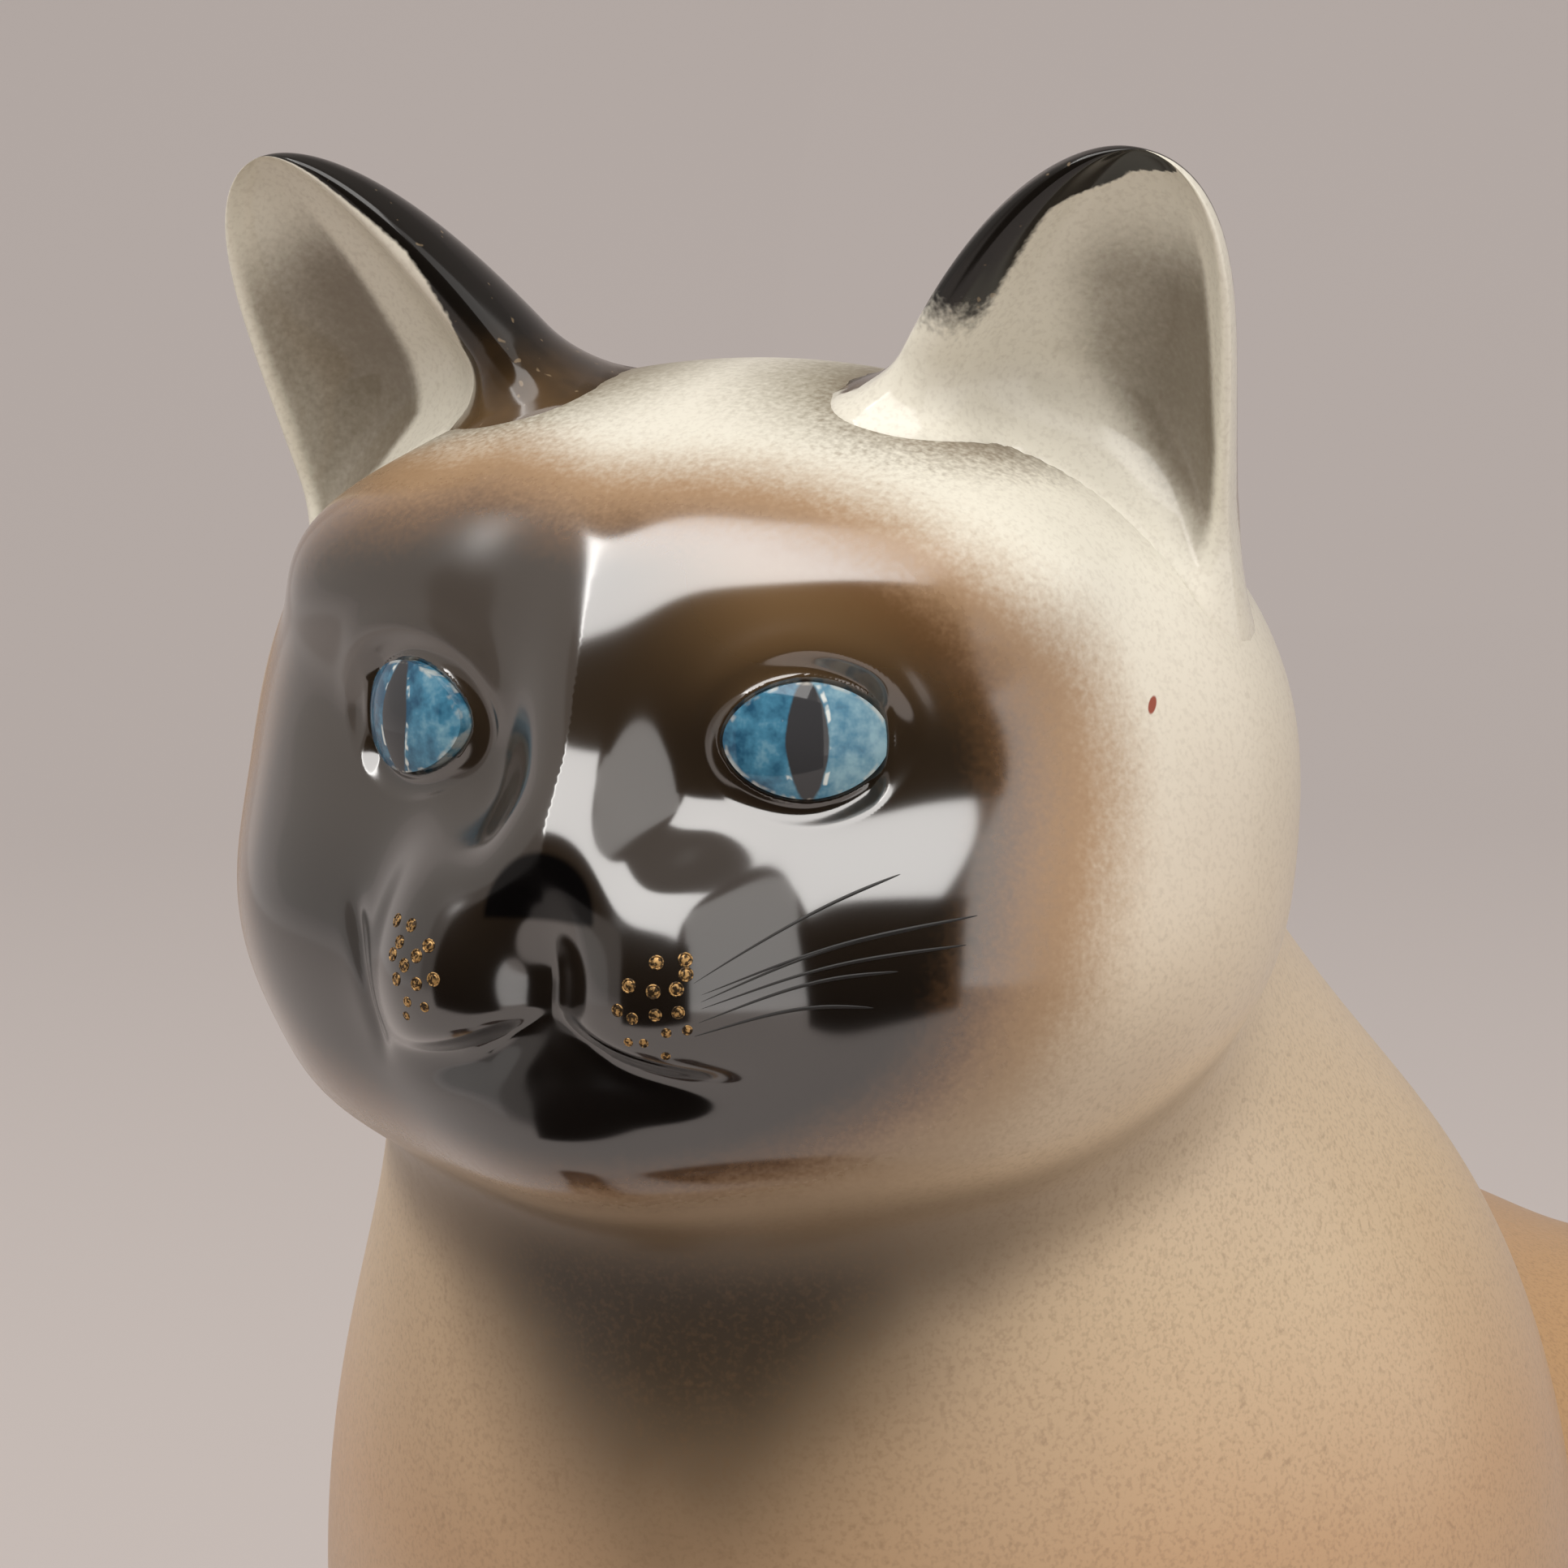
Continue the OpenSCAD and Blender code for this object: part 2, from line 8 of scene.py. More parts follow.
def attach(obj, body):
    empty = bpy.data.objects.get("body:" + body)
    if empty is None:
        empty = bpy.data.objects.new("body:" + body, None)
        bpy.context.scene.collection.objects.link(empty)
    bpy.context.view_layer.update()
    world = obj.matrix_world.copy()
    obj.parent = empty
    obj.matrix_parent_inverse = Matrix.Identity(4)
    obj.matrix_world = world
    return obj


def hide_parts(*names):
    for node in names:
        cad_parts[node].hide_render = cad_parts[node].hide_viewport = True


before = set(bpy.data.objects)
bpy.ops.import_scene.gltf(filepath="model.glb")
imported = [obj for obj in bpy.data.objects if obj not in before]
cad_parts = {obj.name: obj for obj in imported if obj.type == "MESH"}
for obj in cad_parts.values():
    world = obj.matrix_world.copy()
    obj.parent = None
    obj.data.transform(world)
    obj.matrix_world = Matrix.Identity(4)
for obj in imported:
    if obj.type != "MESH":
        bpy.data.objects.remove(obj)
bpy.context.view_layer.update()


# Body: a hollow slip casting of trunk, chest and neck in pale porcelain, with a flat foot and a
# round vent. It is modelled as masses that run together, in millimetres, and airbrushed from
# cream at the neck to ochre on the back. Under the chin is a dark brown that is partly airbrush and
# partly painted shadow; the chest below it has a wider brown, partly painted shade, and the crease
# under the head has a painted shade.
body_masses = {
    "neck": ((0, -37.7, 83), (39.4, 42.6, 44.6)),
    "chest": ((0, -27.7, 55.4), (56, 65, 75)),
    "shoulders": ((18.2, -19.2, 41.9), (31.6, 48.4, 63.8)),
    "breast": ((0, -26, 22), (48, 52, 50)),
    "trunk": ((0, 23, 26), (61, 117, 59)),
    "haunches": ((24, 44, 22), (29, 56, 50)),
    "belly": ((0, 18, 10), (60, 118, 40)),
    "withers": ((0, 6, 46), (32, 50, 36)),
}
head_middle = np.array((0, -42, 94))
head_masses = {
    "skull": ((0, -44, 97.2), (52, 35.5, 36)),
    "jowls": ((12.7, -46, 89.5), (25.4, 26.8, 20.2)),
    "jaw": ((0, -52.7, 83.3), (37.4, 24.2, 13)),
    "cheeks": ((13, -53.5, 90), (15, 17, 15)),
    "muzzle": ((0, -55, 90.6), (21, 16, 13.2)),
    "whisker pads": ((5, -61.8, 89.2), (8.6, 13, 9.6)),
    "chin": ((0, -60.6, 82.8), (11.5, 12, 7)),
    "bridge": ((0, -57.7, 99), (6.5, 11, 15.8)),
    "nose": ((0, -63.9, 94.6), (5, 4.6, 4.4)),
    "brows": ((9.6, -53.6, 105.4), (18.8, 12, 9.4)),
    "orbits": ((9, -57.2, 100.2), (8.4, 10, 7)),
}
head_dents = {
    "sockets": ((11, -62, 99.6), (14, 10, 9.5), 1.7),
    "tear ducts": ((4.6, -64.5, 96), (5, 8, 9), 0.8),
    "lip": ((0, -68, 90.2), (3.6, 8, 7), 0.6),
}
head_soft, body_soft, neck_soft = 2.0, 4.0, 1.2
body_middle, body_reach = np.array((0, -10, 38)), 110
neck_joint, neck_rise = (0, -42, 75), math.radians(19)
neck_up = np.array((0, -math.sin(neck_rise), math.cos(neck_rise)))
vent_width, vent_back, vent_bore = 10, 14, 12
paint_low, paint_span = 40, 70
ochre, chest_airbrush_and_shade_brown, crease_shade_brown, chin_airbrush_and_shadow_brown, grain_brown = "bd9362", "8a6f52", "5e4a34", "2e2418", "6b5238"


def twins(masses):
    for (x, y, z), size in masses.values():
        yield np.array((x, y, z)), np.array(size) / 2
        if x:
            yield np.array((-x, y, z)), np.array(size) / 2


def swell(points, masses, soft):
    total = 0
    for at, half in twins(masses):
        q = (points - at) / half
        k = np.linalg.norm(q, axis=1)
        gap = k * (k - 1) / (np.linalg.norm(q / half, axis=1) + 1e-9)
        total = total + np.exp(np.clip(-gap / soft, -80, 80))
    return -soft * np.log(total)


def folded(points):
    return np.abs(points * (1, 0, 0)) + points * (0, 1, 1)


def figure(points):
    head = swell(points, head_masses, head_soft)
    for at, size, depth in head_dents.values():
        q = (folded(points) - at) / (np.array(size) / 2)
        head = head + depth * np.exp(-np.sum(q * q, 1))
    body = swell(points, body_masses, body_soft)
    return -neck_soft * np.logaddexp(-head / neck_soft, -body / neck_soft)


def slope(points, form, step=0.03):
    corners = np.array(((1, 1, 1), (1, -1, -1), (-1, 1, -1), (-1, -1, 1)))
    return sum(form(points + c * step)[:, None] * c for c in corners) / (4 * step)


def outward(points, form):
    lean = slope(points, form)
    return lean / np.linalg.norm(lean, axis=1)[:, None]


def alone(piece):
    bpy.ops.object.select_all(action="DESELECT")
    piece.select_set(True)
    bpy.context.view_layer.objects.active = piece


def places(piece):
    flat = np.empty(len(piece.data.vertices) * 3)
    piece.data.vertices.foreach_get("co", flat)
    return flat.reshape(-1, 3)


def place(piece, points):
    piece.data.vertices.foreach_set("co", points.ravel())
    piece.data.update()


def pressed(name, middle, reach, form, steps=40, pace=0.8):
    bpy.ops.object.select_all(action="DESELECT")
    bpy.ops.mesh.primitive_ico_sphere_add(subdivisions=7, radius=1)
    piece = bpy.context.object
    piece.name = piece.data.name = name
    rays = places(piece)
    along = np.ones(len(rays))
    for _ in range(steps):
        along = np.minimum(along - pace * form(middle + along[:, None] * rays), reach)
    place(piece, middle + along[:, None] * rays)
    return piece


def smoothed(piece, form, rounds=4):
    edges = np.empty(len(piece.data.edges) * 2, int)
    piece.data.edges.foreach_get("vertices", edges)
    one, two = edges.reshape(-1, 2).T
    points = places(piece)
    count = np.bincount(np.r_[one, two], minlength=len(points))[:, None]
    for turn in range(rounds):
        for _ in range(3):
            lean = slope(points, form)
            points -= form(points)[:, None] * lean / np.sum(lean * lean, 1)[:, None]
        if turn < rounds - 1:
            near = np.zeros_like(points)
            np.add.at(near, one, points[two])
            np.add.at(near, two, points[one])
            points += 0.5 * (near / count - points)
    place(piece, points)


def cut(piece, at, normal):
    alone(piece)
    bpy.ops.object.mode_set(mode="EDIT")
    bpy.ops.mesh.select_all(action="SELECT")
    bpy.ops.mesh.bisect(plane_co=at, plane_no=tuple(normal), use_fill=True, clear_outer=True)
    bpy.ops.object.mode_set(mode="OBJECT")


def glazed(piece, form, cap_turn=0.6):
    mesh = piece.data
    mesh.polygons.foreach_set("use_smooth", np.ones(len(mesh.polygons), bool))
    lean = outward(places(piece), form)
    corners = np.empty(len(mesh.loops), int)
    mesh.loops.foreach_get("vertex_index", corners)
    faces = np.empty(len(mesh.polygons) * 3)
    mesh.polygons.foreach_get("normal", faces)
    sides = np.empty(len(mesh.polygons), int)
    mesh.polygons.foreach_get("loop_total", sides)
    flat = np.repeat(faces.reshape(-1, 3), sides, 0)
    normals = lean[corners]
    cap = np.sum(normals * flat, 1) < cap_turn
    normals[cap] = flat[cap]
    mesh.normals_split_custom_set(normals)


def tone(code):
    parts = [int(code[i:i + 2], 16) / 255 for i in (0, 2, 4)]
    return tuple(p / 12.92 if p < 0.04045 else ((p + 0.055) / 1.055) ** 2.4 for p in parts) + (1,)


class Brush:
    def __init__(self, tree, socket=None):
        self.tree, self.socket = tree, socket

    def node(self, kind, settings=(), values=(), out=0):
        made = self.tree.nodes.new("ShaderNode" + kind)
        for key, setting in dict(settings).items():
            if key == "stops":
                marks = made.color_ramp.elements
                while len(marks) < len(setting):
                    marks.new(0.5)
                for mark, (at, colour) in zip(marks, setting):
                    mark.position, mark.color = at, colour
            else:
                setattr(made, key, setting)
        for key, value in dict(values).items():
            if isinstance(value, Brush):
                self.tree.links.new(value.socket, made.inputs[key])
            else:
                made.inputs[key].default_value = value
        return Brush(self.tree, made.outputs[out])

    def sum(self, operation, *values):
        return self.node("Math", {"operation": operation}, enumerate(values))

    def __add__(self, other):
        return self.sum("ADD", self, other)

    __radd__ = __add__

    def __sub__(self, other):
        return self.sum("SUBTRACT", self, other)

    def __rsub__(self, other):
        return self.sum("SUBTRACT", other, self)

    def __mul__(self, other):
        return self.sum("MULTIPLY", self, other)

    __rmul__ = __mul__

    def __truediv__(self, other):
        return self.sum("DIVIDE", self, other)

    def __pow__(self, power):
        return self.sum("POWER", self, power)

    def __abs__(self):
        return self.sum("ABSOLUTE", self)

    def rise(self, low, high):
        return self.node(
            "MapRange",
            {"interpolation_type": "SMOOTHSTEP"},
            {0: self, 1: low, 2: high, 3: 0.0, 4: 1.0},
        )

    def over(self, under, colour):
        return self.node("Mix", {"data_type": "RGBA"}, {0: self, 6: under, 7: colour}, 2)

    def ramp(self, *stops):
        return self.node("ValToRGB", {"stops": [(at, tone(code)) for at, code in stops]}, {0: self})

    def grain(self, where, size, detail=2.0):
        values = {"Vector": where, "Scale": 1 / size, "Detail": detail, "Roughness": 0.6}
        return self.node("TexNoise", {}, values)

    def feed(self, shader, name):
        self.tree.links.new(self.socket, shader.inputs[name])


def glaze(name):
    material = bpy.data.materials.new(name)
    material.use_nodes = True
    tree = material.node_tree
    shader = tree.nodes["Principled BSDF"]
    brush = Brush(tree)
    where = brush.node("TexCoord", out=3)
    in_mm = {"Vector": where, "Scale": (1000, 1000, 1000)}
    where = brush.node("Mapping", {"vector_type": "POINT"}, in_mm)
    axes = brush.node("SeparateXYZ", {}, {0: where}).socket.node
    x, y, z = (Brush(tree, axis) for axis in axes.outputs)
    return material, shader, brush, where, x, y, z


def ball_of(x, y, z, at, half):
    a, b, c = ((axis - middle) / reach for axis, middle, reach in zip((x, y, z), at, half))
    return (a ** 2 + b ** 2 + c ** 2) ** 0.5


def airbrushed(brush, where, x, y, z):
    cloud = brush.grain(where, 14.0, 3.0) - 0.5
    fine = brush.grain(where, 0.26, 1.0)
    speck = brush.grain(where, 0.6, 0.0)
    height = (z + cloud * 6 - paint_low) / paint_span
    ground = height.ramp(
        (0.0, "b08f6c"), (0.26, "c09d79"), (0.45, "d0b897"),
        (0.6, "d8c5aa"), (0.78, "d3c8b6"), (0.95, "dfdbcd"),
    )
    rear = (y + cloud * 14).rise(-20.0, 30.0) * (1 - height.rise(0.4, 0.7))
    ground = (rear * 0.5).over(ground, tone(ochre))
    # A wide brown on the chest below the chin, partly airbrush and partly painted shade.
    chest_airbrush_and_shade = 1 - ball_of(x, y, z, (0, -60, 66), (22, 16, 17)).rise(0.5, 1.4)
    ground = (chest_airbrush_and_shade * 0.45).over(ground, tone(chest_airbrush_and_shade_brown))
    # Painted shade in the crease where the head meets the neck.
    crease = (1 - abs(z - y * 0.344 - 95.4).rise(1.0, 5.5)) * (0 - y).rise(32.0, 50.0)
    ground = (crease * 0.5).over(ground, tone(crease_shade_brown))
    # Under the chin: a dark brown that is partly airbrush and partly painted shadow.
    shade = 1 - (abs(x - 2) + (75 - z) * 0.5 + cloud * 6).rise(6.0, 19.0)
    shade = shade * (z + cloud * 8).rise(50.0, 72.0)
    shade = shade * (1 - z.rise(73.5, 81.0)) * (0 - y).rise(44.0, 54.0)
    ground = (shade * 0.95).over(ground, tone(chin_airbrush_and_shadow_brown))
    grain = fine.rise(0.45, 0.72) * 0.2 + speck.rise(0.66, 0.78) * 0.1
    return (grain * (1.15 - height.rise(0.45, 0.8) * 0.6)).over(ground, tone(grain_brown))


def finish(piece, material, slot, *nodes):
    piece.data.transform(Matrix.Scale(0.001, 4))
    piece.data.materials.clear()
    piece.data.materials.append(material)
    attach(piece, "root")
    if nodes:
        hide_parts(*nodes)


body = pressed("body", body_middle, body_reach, figure)
smoothed(body, figure)
cut(body, neck_joint, neck_up)
cut(body, (0, 0, 0), (0, 0, -1))
bpy.ops.mesh.primitive_cylinder_add(
    vertices=64, radius=vent_width / 2, depth=vent_bore, location=(0, vent_back, 0)
)
drill = bpy.context.object
alone(body)
vent = body.modifiers.new("vent", "BOOLEAN")
vent.operation, vent.object, vent.solver = "DIFFERENCE", drill, "EXACT"
bpy.ops.object.modifier_apply(modifier="vent")
bpy.data.objects.remove(drill)
glazed(body, figure)

body_glaze, shader, brush, where, x, y, z = glaze("body_glaze")
airbrushed(brush, where, x, y, z).feed(shader, "Base Color")
sheen = brush.grain(where, 0.9) * 0.12 + 0.27
sheen.feed(shader, "Roughness")
shader.inputs["IOR"].default_value = 1.5
finish(body, body_glaze, "body_glaze", "body_shell")


# Head: a hollow porcelain casting with a modelled face, luted to the neck before the bisque
# firing. Lids round the almond seats, the mouth, the lip's groove and the chin are tooled in the
# model. A dark brown mask is airbrushed over the cream and glazed to a high gloss.
eye_at = np.array((10.3, -62.1, 100.0))
eye_width, eye_height, eye_dome, eye_depth, eye_full = 7.3, 5.1, 6.2, 3.0, 1.85
eye_turn, eye_lift = math.radians(26), math.radians(4)
eye_side = np.array((math.cos(eye_turn), math.sin(eye_turn), 0))
eye_out = np.array((
    math.sin(eye_turn) * math.cos(eye_lift),
    -math.cos(eye_turn) * math.cos(eye_lift),
    math.sin(eye_lift),
))
eye_up = np.cross(eye_out, eye_side)
lid_swell, lid_line, seat_depth, seat_gap = 0.14, 0.2, 0.9, 0.15
mouth_drop, mouth_depth, mouth_half = 6.3, 0.7, 9.6
chin_fold, chin_hollow, chin_ball = -8.8, 0.5, 0.35
groove_depth, cheek_swell, crease_depth = 0.25, 0.5, 0.25
head_reach, neck_spare = 45, 4
face_half, face_front, face_tall = 18, -13, 13
mask_middle, mask_half, mask_tall, mask_full = 94.6, 21, 16, 2.6
mask_black, mask_brown, mask_tan = "0e0a08", "6a4c2f", "96724b"


def in_eye(points):
    q = folded(points) - eye_at
    return q @ eye_side, q @ eye_up, q @ eye_out


def almond(u, v):
    k = (np.abs(2 * u / eye_width) ** eye_full + np.abs(2 * v / eye_height) ** eye_full) ** (1 / eye_full)
    return np.hypot(u, v) * (1 - 1 / np.maximum(k, 0.05))


def hump(distance, width):
    return np.exp(-(distance / width) ** 2)


def ease(share):
    share = np.clip(share, 0, 1)
    return share * share * (3 - 2 * share)


def lips(x, z):
    return z + mouth_drop + 0.62 * (np.hypot(x, 0.8) - 0.8) - 0.036 * x * x


def face(points):
    q = points - head_middle
    x, y, z = np.abs(q[:, 0]), q[:, 1], q[:, 2]
    front = ease((-12 - y) / 5)
    u, v, w = in_eye(points)
    rim = almond(u, v)
    near = front * ease((6 - np.abs(w)) / 3)
    dome = np.sqrt(np.maximum(eye_dome ** 2 - u * u - v * v, 4)) - eye_dome
    upper = ease(v / 3 + 0.4)
    corner = 1 - ease((u - 2.6) / 1.2)
    lids = lid_swell * upper * hump(rim - 1.7, 0.9) * ease((6.6 - np.abs(u)) / 3)
    lids = lids - lid_line * hump(rim - 0.3, 0.5) * corner
    seat = -seat_depth * ease(0.4 - rim / 0.7) * corner
    skin = figure(points)
    ring = near * ease((1.4 - rim) / 1.4) * (0.3 + 0.7 * corner)
    skin = skin + ring * (w - dome + seat_gap - skin)
    line = lips(x, z)
    mouth = -mouth_depth * hump(line, np.where(line > 0, 0.7, 1.4))
    mouth = mouth * ease((mouth_half - x) / 5) * (0.3 + 0.7 * ease(x / 3))
    chin = -chin_hollow * hump(x, 8.0) * hump(z - chin_fold, np.where(z > chin_fold, 1.7, 2.6))
    chin = chin + chin_ball * hump(x, 3.6) * hump(z + 10.5, 3)
    groove = -groove_depth * hump(x, 2.4) * ease((-1.5 - z) / 3) * ease((z + 8) / 3)
    cheek = cheek_swell * hump(x - 5.6, 3.2) * hump(z - 0.2, 2.2)
    crease_x = 9.8 + 0.3 * np.clip(z + 8.5, 0, 6)
    crease = -crease_depth * hump(x - crease_x, 0.7) * ease((z + 10) / 3) * ease((-1 - z) / 3)
    crease = crease * (q[:, 0] < 0)
    return skin - near * (lids + seat) - front * (mouth + crease + chin + cheek + groove)


def topped(points):
    under = (points - neck_joint) @ -neck_up
    return np.maximum(face(points), under - neck_spare)


head = pressed("head", head_middle, head_reach, topped)
smoothed(head, topped)
for zone in ("face", "rims and lips"):
    bpy.ops.object.mode_set(mode="EDIT")
    bpy.ops.mesh.select_mode(type="FACE")
    bpy.ops.mesh.select_all(action="DESELECT")
    bpy.ops.object.mode_set(mode="OBJECT")
    middles = np.empty(len(head.data.polygons) * 3)
    head.data.polygons.foreach_get("center", middles)
    middles = middles.reshape(-1, 3)
    x, y, z = folded(middles - head_middle).T
    chosen = (x < face_half) & (y < face_front) & (np.abs(z + 1) < face_tall)
    if zone != "face":
        rims = (z > 0) & (np.abs(almond(*in_eye(middles)[:2]) - 0.3) < 1.3)
        chosen &= rims | ((x < 10) & (np.abs(lips(x, z)) < 2))
    head.data.polygons.foreach_set("select", chosen)
    bpy.ops.object.mode_set(mode="EDIT")
    bpy.ops.mesh.subdivide(number_cuts=1)
    bpy.ops.object.mode_set(mode="OBJECT")
smoothed(head, topped, 1)
cut(head, neck_joint, -neck_up)
glazed(head, face)

mask_glaze, shader, brush, where, x, y, z = glaze("mask_glaze")
ground = airbrushed(brush, where, x, y, z)
cloud = brush.grain(where, 9.0, 3.0)
fine = brush.grain(where, 0.3, 1.5)
across = (abs(x) / mask_half) ** mask_full
tall = (abs(z - mask_middle) / mask_tall) ** mask_full
spread = (across + tall) ** (1 / mask_full)
spread = spread + (cloud - 0.5) * 0.06 + (fine - 0.5) * 0.07
back = y - float(head_middle[1])
spread = spread + back.rise(-12.0, 2.0) * 0.6 + back.rise(0.0, 8.0)
brow_side = (0 - x).rise(1.0, 9.0) * z.rise(100.0, 107.0)
far_side = (0 - x).rise(9.0, 19.0)
spread = spread - brow_side * 0.08 - far_side * 0.13
roots = ball_of(abs(x), y, z, (9, -46, 114), (9.5, 9, 6.5)) + (fine - 0.5) * 0.5
ground = ((1 - roots.rise(0.3, 1.2)) * 0.95).over(ground, tone("857d68"))
stain = ball_of(abs(x), y, z, (12, -45, 113.5), (5.5, 8, 5)) + (fine - 0.5) * 0.8
ground = ((1 - stain.rise(0.5, 1.5)) * 0.8).over(ground, tone("5e4a32"))
jaw = (1 - spread.rise(1.05, 1.4)) * (94 - z).rise(3.0, 12.0)
tan = 1 - spread.rise(0.97, 1.13)
brown = 1 - spread.rise(0.84, 1.01)
dark = 1 - spread.rise(0.76, 0.93)
ground = (jaw * 0.3).over(ground, tone("7d6a55"))
ground = (tan * 0.9).over(ground, z.rise(80.0, 93.0).over(tone("a38f78"), tone(mask_tan)))
ground = brown.over(ground, tone(mask_brown))
brow = (z.rise(99.0, 109.0) * x.rise(0.0, 9.0)).over(tone("2e2419"), tone("7a5e3d"))
ground = dark.over(ground, z.rise(84.0, 103.0).over(tone(mask_black), brow))
speck = 1 - ball_of(x, y, z, (22.7, -52.5, 100.9), (0.13, 2, 0.4)).rise(0.8, 1.1)
ground = speck.over(ground, tone("8c3c22"))
helmet = ((x / 2.7) ** 2 + ((z - 92.5) / 2.9) ** 2) ** 0.5
nose = (1 - helmet.rise(0.93, 1.06)) * z.rise(92.2, 92.6) * (0 - y).rise(60.0, 63.0)
ground = nose.over(ground, tone("060505"))
ground.feed(shader, "Base Color")
gloss = brush.grain(where, 0.9) * 0.12 + 0.27
gloss = gloss + brown * (0.14 - gloss)
gloss.feed(shader, "Roughness")
(brown * (1 - nose) * 0.95).feed(shader, "Coat Weight")
shader.inputs["IOR"].default_value = 1.5
shader.inputs["Coat IOR"].default_value = 2.0
shader.inputs["Coat Roughness"].default_value = 0.14
finish(head, mask_glaze, "mask_glaze", "head_shell")


# Ears: two cupped castings luted on with slip, the joint wiped to a soft fillet.
# Each has a full rounded back, a cup that is deepest beside the outer rim, and a thick roll
# along the inner rim. The backs are sprayed black over brown; the cups are cream, airbrushed grey
# in the hollow, which is partly painted shade.
ear_root, ear_tip = np.array((16, -45.3, 105)), np.array((22.2, -52.7, 125))
ear_width, ear_depth, cup_depth = 15.6, 9.2, 4.4
roll_inner, roll_outer = 1.5, 0.6
ear_flare, ear_bow, ear_fillet, ear_sink = 4.5, 1.2, 3.0, 2.0
ear_turn, ear_dip = math.radians(12), math.radians(21)


def luted(points, normals, form, fillet):
    height = form(points)
    lean = outward(points, form)
    out = normals - np.sum(normals * lean, 1)[:, None] * lean
    out /= np.linalg.norm(out, axis=1)[:, None] + 1e-6
    near = np.clip(1 - height / fillet, 0, 0.97)
    points = points + out * (fillet * (1 - np.sqrt(1 - near ** 2)))[:, None]
    lean = outward(points, form)
    return points + lean * (height - 0.1 * near ** 2 - form(points))[:, None]


def shape_of(piece):
    flat = np.empty(len(piece.data.vertices) * 3)
    piece.data.vertex_normals.foreach_get("vector", flat)
    return flat.reshape(-1, 3)


ear_axis = ear_tip - ear_root
ear_up = ear_axis / np.linalg.norm(ear_axis)
ear_side = np.array((
    math.cos(ear_turn) * math.cos(ear_dip),
    math.sin(ear_turn) * math.cos(ear_dip),
    -math.sin(ear_dip),
))
ear_side = ear_side - ear_up * (ear_side @ ear_up)
ear_side /= np.linalg.norm(ear_side)
ear_front = np.cross(ear_side, ear_up)

